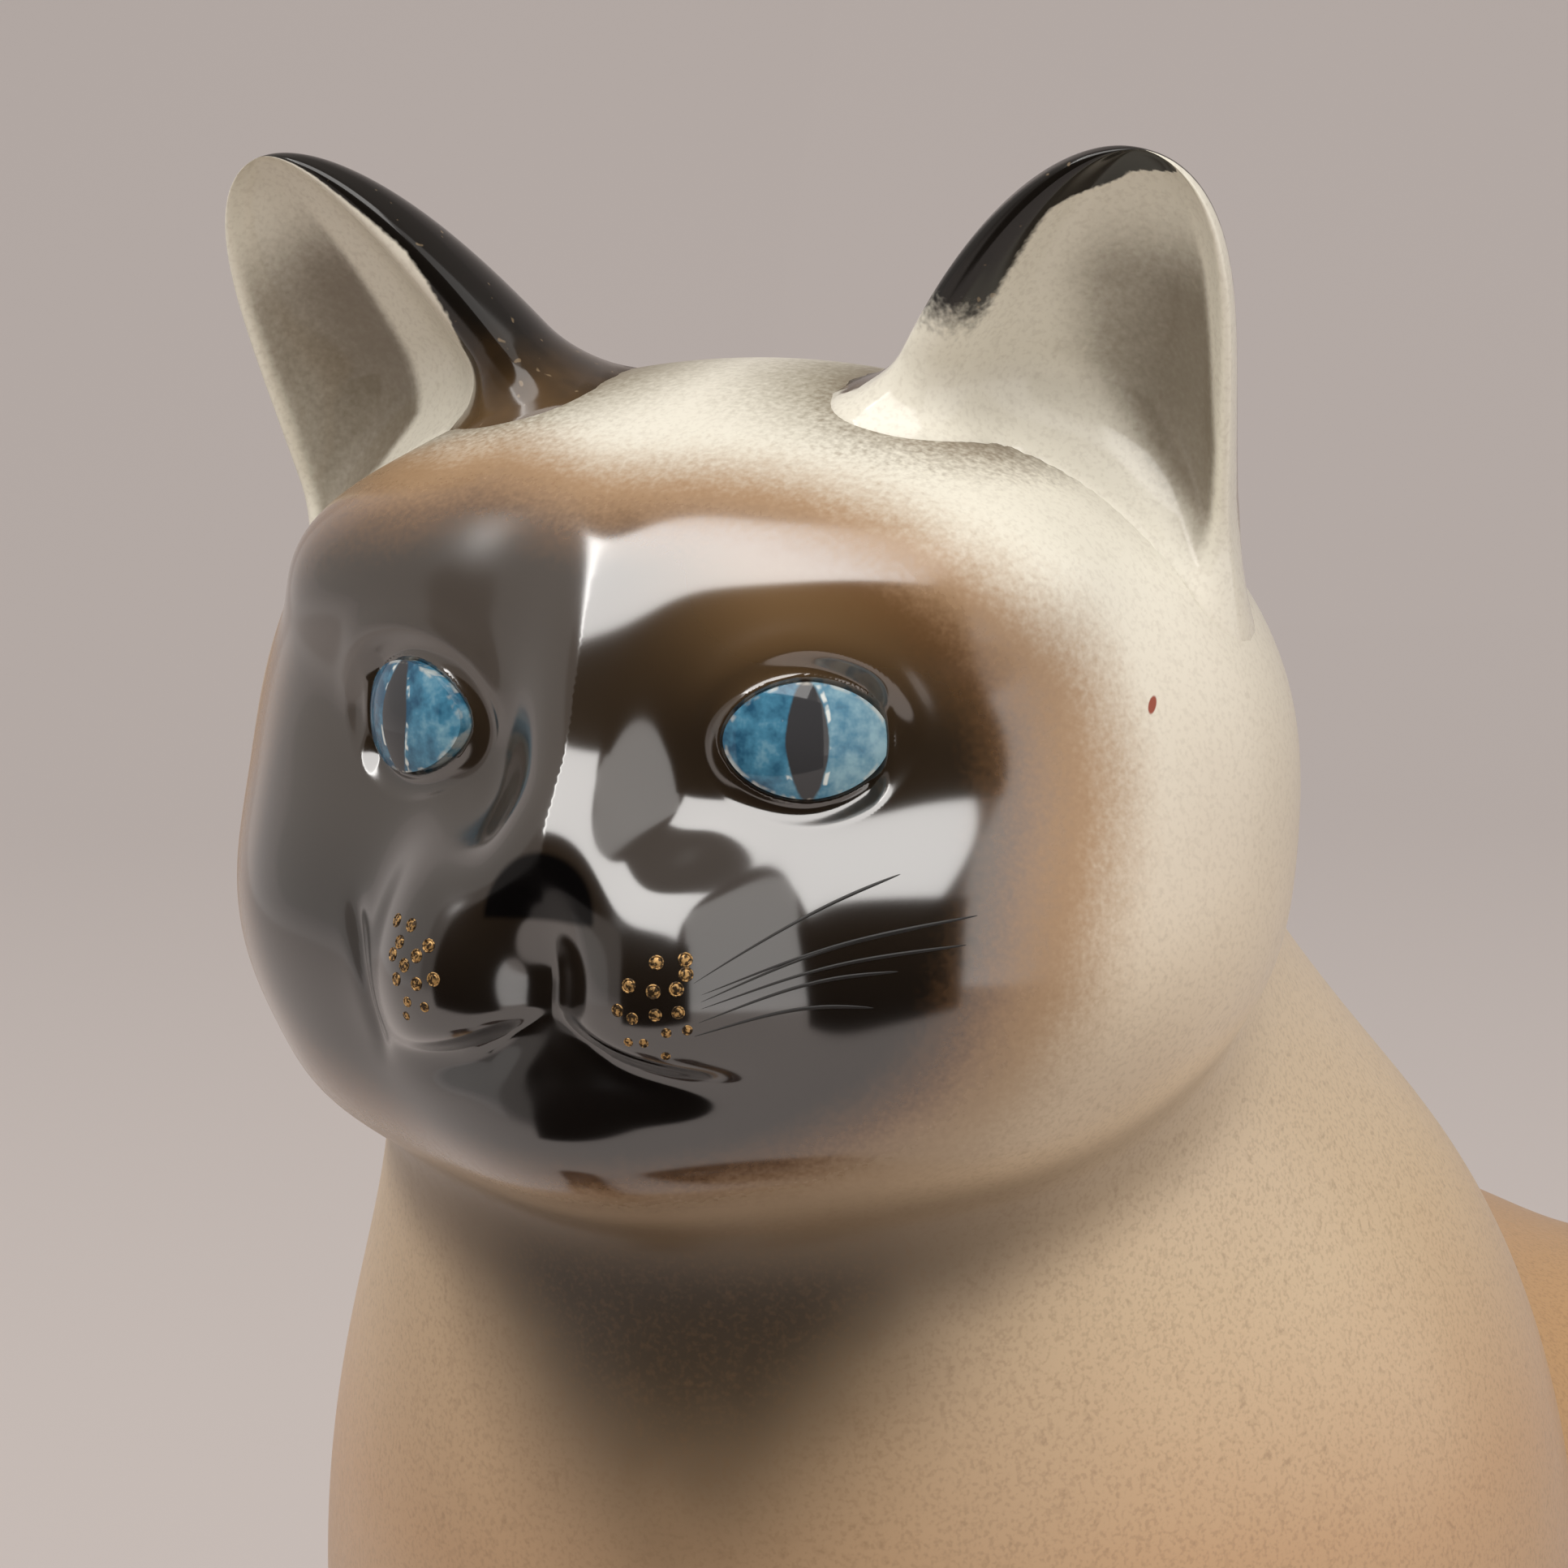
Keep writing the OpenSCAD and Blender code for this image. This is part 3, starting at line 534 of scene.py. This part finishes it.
for side, name in ((1, "left"), (-1, "right")):
    bpy.ops.object.select_all(action="DESELECT")
    bpy.ops.mesh.primitive_uv_sphere_add(segments=144, ring_count=110, radius=1)
    ear = bpy.context.object
    ear.name = ear.data.name = name + "_ear_glazed"
    ball = places(ear)
    along = (1 + ball[:, 2]) / 2
    girth = np.hypot(ball[:, 0], ball[:, 1]) + 1e-9
    inner, full = (1 - ball[:, 0] / girth) / 2, np.abs(ball[:, 1]) / girth
    behind = ball[:, 1] > 0
    run_out = ear_flare * (1 - along) ** 3
    width = ear_width / 2 * np.sqrt(1 - np.minimum(along, 1) ** 2.7) + np.where(inner > 0.5, run_out, 0)
    crest = 0.28 + 0.5 * inner
    rim = (roll_outer + (roll_inner - roll_outer) * inner) * np.sqrt(1 - np.minimum(along, 1) ** 4)
    rolled = np.clip(full / crest, 0, 1)
    rolled = rim * np.sqrt(2 * rolled - rolled ** 2) * (1 - ease((full - crest) / 0.35))
    cup = cup_depth * ease((along - 0.12) / 0.35) * (1 - along) ** 0.5
    cup = cup * full ** 1.5 * (1.25 - 0.85 * inner)
    cup = cup * ease((full - 0.8 * crest) / (1 - 0.8 * crest)) ** 0.6
    back = (ear_depth * (1 - along) ** 0.6 + run_out / 2) * full ** 0.9
    deep = np.where(behind, -back, rolled - cup)
    across = width * ball[:, 0] / girth - ear_bow * np.sin(math.pi * along)
    points = ear_root + along[:, None] * ear_axis + across[:, None] * ear_side
    points = points + deep[:, None] * ear_front
    place(ear, points)
    points = luted(points, shape_of(ear), face, ear_fillet)
    sunk = ear_sink * ease((0.22 - along) / 0.22) * ease(2 * ball[:, 1] / girth)
    points = points - outward(points, face) * sunk[:, None]
    place(ear, points * (side, 1, 1))
    if side < 0:
        ear.data.flip_normals()
    lateral = ball[:, 0] / girth
    if side > 0:
        edge = -0.61 + 0.5 * ease((along - 0.83) / 0.1) + 0.8 * ease((along - 0.925) / 0.04)
        sprayed = ease((edge - lateral) / 0.14 + 0.5) * ease((along - 0.42) / 0.28)
        cup_edge = np.interp(along, (0.14, 0.24, 0.33, 0.47, 0.68), (0.86, 0.58, 0.17, -0.25, -0.43))
        shade = ease((lateral - cup_edge + 0.15) / 0.6) * (0.7 + 0.3 * ease((lateral + 0.2) / 0.9))
        rim_edge = np.interp(along, (0.4, 0.58, 0.77, 0.95), (0.95, 0.88, 0.8, 0.6))
    else:
        edge = np.interp(along, (0.29, 0.34, 0.55, 0.72, 0.88), (-0.35, -0.53, -0.8, -0.9, -0.84))
        sprayed = ease((edge - lateral) / 0.1 + 0.5)
        cup_edge = np.interp(along, (0.16, 0.2, 0.25, 0.33), (0.98, 0.71, 0.36, 0.06))
        shade = ease((lateral - cup_edge + 0.05) / 0.16) * (1 - 0.2 * ease((lateral - 0.3) / 0.6))
        rim_edge = 0.97
    sprayed = np.where(behind, np.where(lateral > 0, ease((full - 0.06) / 0.2), 1), sprayed)
    shade = np.where(behind, 0, shade * ease((rim_edge - lateral) / 0.1) * ease((0.95 - along) / 0.3))
    ear.data.attributes.new("sprayed", "FLOAT", "POINT").data.foreach_set("value", sprayed)
    ear.data.attributes.new("shade", "FLOAT", "POINT").data.foreach_set("value", shade)
    alone(ear)
    bpy.ops.object.shade_smooth()
    ear_glaze, shader, brush, where, x, y, z = glaze(name + "_ear_glaze")
    ground = airbrushed(brush, where, x, y, z)
    fine = brush.grain(where, 0.34, 1.5)
    cloud = brush.grain(where, 5.0, 3.0)
    # The cup's grey is partly airbrush and partly painted shade in the hollow.
    shade = brush.node("Attribute", {"attribute_name": "shade"}, out=2)
    broken = (fine - 0.5) * 0.25 * shade.rise(0.0, 0.3) + (cloud - 0.5) * 0.3 * shade
    shade = (shade + broken).rise(0.0, 1.1)
    ground = (shade * 0.9).over(ground, tone("655948"))
    sprayed = brush.node("Attribute", {"attribute_name": "sprayed"}, out=2)
    back = (sprayed + (fine - 0.5) * 0.5).rise(0.25, 0.8)
    seal = (z + cloud * 8).rise(112.0, 122.0).over(tone("6a5030"), tone("15120f"))
    root = (z + cloud * 5 + (fine - 0.5) * 4).rise(106.5, 114.0)
    flecks = brush.grain(where, 0.45, 0.0).rise(0.76, 0.82) * 0.4
    seal = flecks.over(seal, tone("a08a6c"))
    (back * root).over(ground, seal).feed(shader, "Base Color")
    shader.inputs["Roughness"].default_value = 0.14
    shader.inputs["IOR"].default_value = 1.5
    finish(ear, ear_glaze, "ear_glaze", name + "_ear")


# Eyes: two almond domes of porcelain, seated in the head with slip. The iris is painted a mottled
# blue, with a dark slit pupil that has a broken white edge, under a clear glaze.
pupil_width, pupil_height, pupil_full = 1.9, 5.5, 1.6
pupil_grey, edge_white, ring_cream = "38383a", "dfe2dc", "cfcabd"

for side, name in ((1, "left"), (-1, "right")):
    bpy.ops.mesh.primitive_uv_sphere_add(segments=96, ring_count=48, radius=1)
    eye = bpy.context.object
    eye.name = eye.data.name = name + "_eye_glazed"
    points = places(eye)
    u = points[:, 0] * eye_width / 2
    top = (1 - np.minimum(np.abs(points[:, 0]), 1) ** eye_full) ** (1 / eye_full) * eye_height / 2
    v = points[:, 1] / np.sqrt(np.maximum(1 - points[:, 0] ** 2, 1e-6)) * top
    dome = np.sqrt(eye_dome ** 2 - u * u - v * v) - eye_dome
    w = np.where(points[:, 2] > -0.02, dome, -eye_depth)
    points = eye_at + u[:, None] * eye_side + v[:, None] * eye_up + w[:, None] * eye_out
    place(eye, points * (side, 1, 1))
    if side < 0:
        eye.data.flip_normals()
    alone(eye)
    bpy.ops.object.shade_smooth_by_angle(angle=math.radians(50))
    iris, shader, brush, where, *_ = glaze(name + "_eye_glaze")
    turned = brush.node(
        "Mapping",
        {"vector_type": "TEXTURE"},
        {
            "Vector": where,
            "Location": tuple(eye_at * (side, 1, 1)),
            "Rotation": (-eye_lift, 0, side * eye_turn),
        },
    )
    axes = brush.node("SeparateXYZ", {}, {0: turned}).socket.node
    u, v = Brush(brush.tree, axes.outputs[0]), Brush(brush.tree, axes.outputs[2])
    mottle = brush.grain(where, 1.1, 3.0)
    patch = brush.grain(where, 0.9)
    # The cat's right eye is painted a darker blue than the left one, as painted shade.
    depth = mottle + u * 0.045 + side * 0.07 - 0.04
    blue = depth.ramp((0.28, "234c66"), (0.5, "437892"), (0.75, "7fa4b2"))
    slit = (abs(u) / (pupil_width / 2)) ** pupil_full + (abs(v) / (pupil_height / 2)) ** pupil_full
    slit = slit ** (1 / pupil_full) + (mottle - 0.5) * 0.12
    white = (1 - abs(slit - 1.12).rise(0.04, 0.13)) * (patch + u * 0.06).rise(0.5, 0.6)
    ground = (white * 0.85).over(blue, tone(edge_white))
    ground = (1 - slit.rise(0.94, 1.06)).over(ground, tone(pupil_grey))
    outline = (abs(u) / (eye_width / 2)) ** eye_full + (abs(v) / (eye_height / 2)) ** eye_full
    ring = (outline ** (1 / eye_full)).rise(0.93, 0.98) * patch.rise(0.45, 0.6)
    (ring * 0.5).over(ground, tone(ring_cream)).feed(shader, "Base Color")
    shader.inputs["Roughness"].default_value = 0.06
    finish(eye, iris, "eye_glaze", name + "_eye")


# Whiskers and whisker dots: brushed by hand on the fired glaze. The whiskers are thin strokes of
# dry black enamel, pointed at both ends. Each dot is a drop of gold with a raised edge.
whiskers = [
    ((7.4, -3.7), (14.4, 0.4)),
    ((7.7, -4.2), (17.7, -1.3)),
    ((7.7, -4.5), (15.8, -1.7)),
    ((7.7, -4.8), (17.4, -2.5)),
    ((7.6, -5.4), (14.8, -3.6)),
    ((7.4, -6.0), (13.8, -5.2)),
]
whisker_width, whisker_height, whisker_sag = 0.22, 0.05, 0.35
left_dots = [
    (5.9, -2.8), (7.0, -2.7), (7.1, -3.3), (4.8, -3.8), (5.9, -4.0), (6.8, -3.9), (4.3, -4.9), (5.0, -5.2),
    (6.0, -5.0), (6.9, -4.9), (4.7, -6.3), (5.4, -6.3), (6.4, -5.8), (7.2, -5.7), (6.2, -6.9),
]
right_dots = [
    (7.4, -2.2), (6.3, -2.2), (6.9, -3.0), (7.3, -3.6), (5.7, -3.4), (5.1, -2.9), (6.4, -3.9), (5.6, -4.6),
    (6.9, -4.6), (6.2, -5.5), (4.7, -4.3), (5.2, -5.6), (6.4, -6.2),
]
dot_big, dot_small, dot_height = 0.64, 0.42, 0.05
ring_share, wire_share, bead_share = 0.44, 0.07, 0.36


def on_face(x, z):
    points = np.column_stack((x, np.full_like(x, -30.0), z)) + head_middle
    for _ in range(14):
        lean = slope(points, face)
        points[:, 1] -= np.clip(face(points) / np.minimum(lean[:, 1], -0.25), -4, 4)
    return points, outward(points, face)


def joined(pieces, name):
    bpy.ops.object.select_all(action="DESELECT")
    for piece in pieces:
        piece.select_set(True)
    bpy.context.view_layer.objects.active = pieces[0]
    bpy.ops.object.join()
    bpy.context.object.name = bpy.context.object.data.name = name
    return bpy.context.object


strokes = []
for root, tip in whiskers:
    bpy.ops.mesh.primitive_uv_sphere_add(segments=12, ring_count=48, radius=1)
    stroke = bpy.context.object
    ball = places(stroke)
    along = (1 + ball[:, 2]) / 2
    x = root[0] + along * (tip[0] - root[0])
    z = root[1] + along * (tip[1] - root[1]) + whisker_sag * np.sin(math.pi * along)
    width = whisker_width * (0.5 + 0.5 * along)
    points, lean = on_face(x, z + ball[:, 0] * width / 2)
    place(stroke, points + lean * (ball[:, 1] * whisker_height)[:, None])
    stroke.data.flip_normals()
    strokes.append(stroke)
strokes = joined(strokes, "whisker_strokes")
bpy.ops.object.shade_smooth()
enamel, shader, *_ = glaze("whisker_enamel")
shader.inputs["Base Color"].default_value = tone("120f0d")
shader.inputs["Roughness"].default_value = 0.45
finish(strokes, enamel, "mask_glaze")

drops = []
for side, dots in ((1, left_dots), (-1, right_dots)):
    for place_x, place_z in dots:
        size = dot_small + (dot_big - dot_small) * ease((place_z + 6.2) / 2.0)
        middle, lean = on_face(np.array([place_x * side]), np.array([place_z]))
        level = np.cross((0, 0, 1), lean[0])
        turned = Matrix(np.column_stack((level, np.cross(lean[0], level), lean[0])))
        turned = Matrix.Translation(middle[0]) @ turned.normalized().to_4x4()
        bpy.ops.mesh.primitive_torus_add(
            major_radius=ring_share * size,
            minor_radius=wire_share * size,
            major_segments=24,
            minor_segments=8,
        )
        ring = bpy.context.object
        bpy.ops.mesh.primitive_uv_sphere_add(segments=20, ring_count=10, radius=bead_share * size)
        bead = bpy.context.object
        bead.data.transform(Matrix.Diagonal((1, 1, dot_height / (bead_share * size), 1)))
        for piece in (ring, bead):
            piece.data.transform(turned)
            drops.append(piece)
drops = joined(drops, "gilded_dots")
bpy.ops.object.shade_smooth()
gold, shader, brush, where, *_ = glaze("gilding")
worn = brush.grain(where, 0.16, 1.0).rise(0.42, 0.6)
worn.over(tone("3a2c1c"), tone("bd9660")).feed(shader, "Base Color")
shader.inputs["Metallic"].default_value = 0.7
shader.inputs["Roughness"].default_value = 0.42
finish(drops, gold, "mask_glaze")


# Legs and tail: two stretched forelegs, two hind feet and a tail in porcelain, each its own
# casting, luted to the body with a wiped joint. The ends are sprayed seal brown over the ochre.
limb_fillet, limb_sunk, limb_merge = 2.0, 0.3, 0.002
seal_brown = "3a2417"


def casting(node):
    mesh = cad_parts[node].data.copy()
    mesh.transform(Matrix.Scale(1000, 4))
    piece = bpy.data.objects.new(node + "_glazed", mesh)
    bpy.context.collection.objects.link(piece)
    alone(piece)
    bpy.ops.object.mode_set(mode="EDIT")
    bpy.ops.mesh.select_mode(type="FACE")
    bpy.ops.mesh.select_all(action="SELECT")
    bpy.ops.mesh.remove_doubles(threshold=limb_merge)
    bpy.ops.mesh.select_all(action="DESELECT")
    bpy.ops.object.mode_set(mode="OBJECT")
    height = figure(places(piece))
    for flat in piece.data.polygons:
        flat.select = bool(np.all(height[list(flat.vertices)] < limb_sunk))
    bpy.ops.object.mode_set(mode="EDIT")
    bpy.ops.mesh.delete(type="FACE")
    bpy.ops.mesh.select_all(action="SELECT")
    bpy.ops.mesh.tris_convert_to_quads(face_threshold=0.9, shape_threshold=0.9)
    bpy.ops.object.mode_set(mode="OBJECT")
    fine = piece.modifiers.new("fine", "SUBSURF")
    fine.levels = fine.render_levels = 2
    bpy.ops.object.modifier_apply(modifier="fine")
    points = luted(places(piece), shape_of(piece), figure, limb_fillet)
    points[:, 2] = np.maximum(points[:, 2], 0)
    place(piece, points)
    bpy.ops.object.mode_set(mode="EDIT")
    bpy.ops.mesh.select_mode(type="EDGE")
    bpy.ops.mesh.select_all(action="DESELECT")
    bpy.ops.mesh.select_non_manifold()
    bpy.ops.mesh.edge_face_add()
    bpy.ops.object.mode_set(mode="OBJECT")
    bpy.ops.object.shade_smooth_by_angle(angle=math.radians(60))
    return piece


for name, slot, start, full in (
    ("left_foreleg", "leg_glaze", -42.0, -74.0),
    ("right_foreleg", "leg_glaze", -42.0, -74.0),
    ("left_hind_foot", "leg_glaze", 26.0, 2.0),
    ("right_hind_foot", "leg_glaze", 26.0, 2.0),
    ("tail", "tail_glaze", 78.0, 40.0),
):
    limb = casting(name)
    limb_glaze, shader, brush, where, x, y, z = glaze(name + "_glaze")
    ground = airbrushed(brush, where, x, y, z)
    along = (y + brush.grain(where, 7.0, 3.0) * 8 - 4).rise(min(start, full), max(start, full))
    point = 1 - along if full < start else along
    point.over(ground, tone(seal_brown)).feed(shader, "Base Color")
    shader.inputs["Roughness"].default_value = 0.2
    finish(limb, limb_glaze, slot, name)


# Stage: a plain pale paper sweep under and behind the figure, soft boxes above and at both sides,
# and a dark card in front, which shows in the glaze alone. The camera stands in front of the
# cat's left cheek, a little above the eyes.
camera_data = bpy.data.cameras.new("camera")
camera = bpy.data.objects.new("camera", camera_data)
bpy.context.collection.objects.link(camera)
camera_data.lens = 86.65
camera_data.sensor_width = 36
camera_data.clip_start = 0.01
yaw, pitch, roll = math.radians(24.5), math.radians(10), math.radians(-0.7)
camera.location = (0.07596, -0.20868, 0.1265)
camera.rotation_euler = (math.pi / 2 - pitch, 0, yaw)
camera.rotation_euler.rotate_axis("Z", roll)
bpy.context.scene.camera = camera

floor_front, floor_back, floor_bend, floor_rise = 1.5, 0.45, 0.55, 0.8
paper_tone = tone("c6bdb7")
floor_length = floor_front + floor_back + floor_bend * math.pi / 2 + floor_rise
bpy.ops.mesh.primitive_grid_add(x_subdivisions=2, y_subdivisions=160, size=2)
sweep = bpy.context.object
sweep.name = "sweep"
points = places(sweep)
run = (points[:, 1] + 1) / 2 * floor_length - floor_front
turn = np.clip((run - floor_back) / floor_bend, 0, math.pi / 2)
past = np.maximum(run - floor_back - floor_bend * math.pi / 2, 0)
deep = np.minimum(run, floor_back) + floor_bend * np.sin(turn)
high = floor_bend * (1 - np.cos(turn)) + past
place(sweep, np.column_stack((points[:, 0] * 2, deep, high)))
alone(sweep)
bpy.ops.object.shade_smooth()
sweep.rotation_euler[2] = yaw
backdrop = bpy.data.materials.new("backdrop")
backdrop.use_nodes = True
brush = Brush(backdrop.node_tree)
paper = brush.node("BsdfDiffuse", {}, {"Color": paper_tone})
glow = brush.node("Emission", {}, {"Color": tone("d8cfcd")})
seen = brush.node("LightPath") + brush.node("LightPath", out=3) + brush.node("LightPath", out=6)
mixed = brush.node("MixShader", {}, {0: seen * 0.35, 1: paper, 2: glow})
backdrop.node_tree.links.new(mixed.socket, backdrop.node_tree.nodes["Material Output"].inputs["Surface"])
sweep.data.materials.append(backdrop)

card_at, card_width, card_height = (0.0295, -0.237, 0.118), 0.269, 0.236
bpy.ops.mesh.primitive_plane_add(size=1, location=card_at, rotation=(math.pi / 2, 0, 0))
flag = bpy.context.object
flag.scale = (card_width, card_height, 1)
flag.name = "flag"
shade = bpy.data.materials.new("flag")
shade.use_nodes = True
brush = Brush(shade.node_tree)
glossy = brush.node("LightPath", out=3)
clear = brush.node("BsdfTransparent")
black = brush.node("BsdfDiffuse", {}, {"Color": (0.01, 0.01, 0.01, 1)})
mixed = brush.node("MixShader", {}, {0: glossy, 1: clear, 2: black})
shade.node_tree.links.new(mixed.socket, shade.node_tree.nodes["Material Output"].inputs["Surface"])
flag.data.materials.append(shade)


def softbox(name, centre, aim, width, height, power):
    lamp = bpy.data.lights.new(name, "AREA")
    lamp.shape, lamp.size, lamp.size_y = "RECTANGLE", width, height
    lamp.energy, lamp.color = power, (1, 0.98, 0.955)
    box = bpy.data.objects.new(name, lamp)
    bpy.context.collection.objects.link(box)
    box.location = centre
    ray = Matrix.Translation(aim).translation - box.location
    box.rotation_euler = ray.to_track_quat("-Z", "Y").to_euler()


softbox("top_light", (-0.02, -0.318, 0.535), (-0.02, -0.042, 0.094), 0.52, 0.41, 2.65)
softbox("bright_edge", (-0.295, -0.318, 0.535), (-0.295, -0.042, 0.094), 0.03, 0.41, 0.4)
for share in (1, 0.8, 0.6):
    softbox("left_panel", (-0.512, 0.0, 0.36), (-0.022, 0.18, 0.34), 0.85 * share, 1.15 * share, 0.5)
softbox("right_panel", (0.443, 0.05, 0.25), (0.043, 0.178, 0.23), 0.97, 0.8, 2.26)
world = bpy.data.worlds.new("studio")
world.use_nodes = True
world.node_tree.nodes["Background"].inputs["Color"].default_value = paper_tone
world.node_tree.nodes["Background"].inputs["Strength"].default_value = 0.5
bpy.context.scene.world = world
bpy.context.scene.view_settings.view_transform = "Standard"
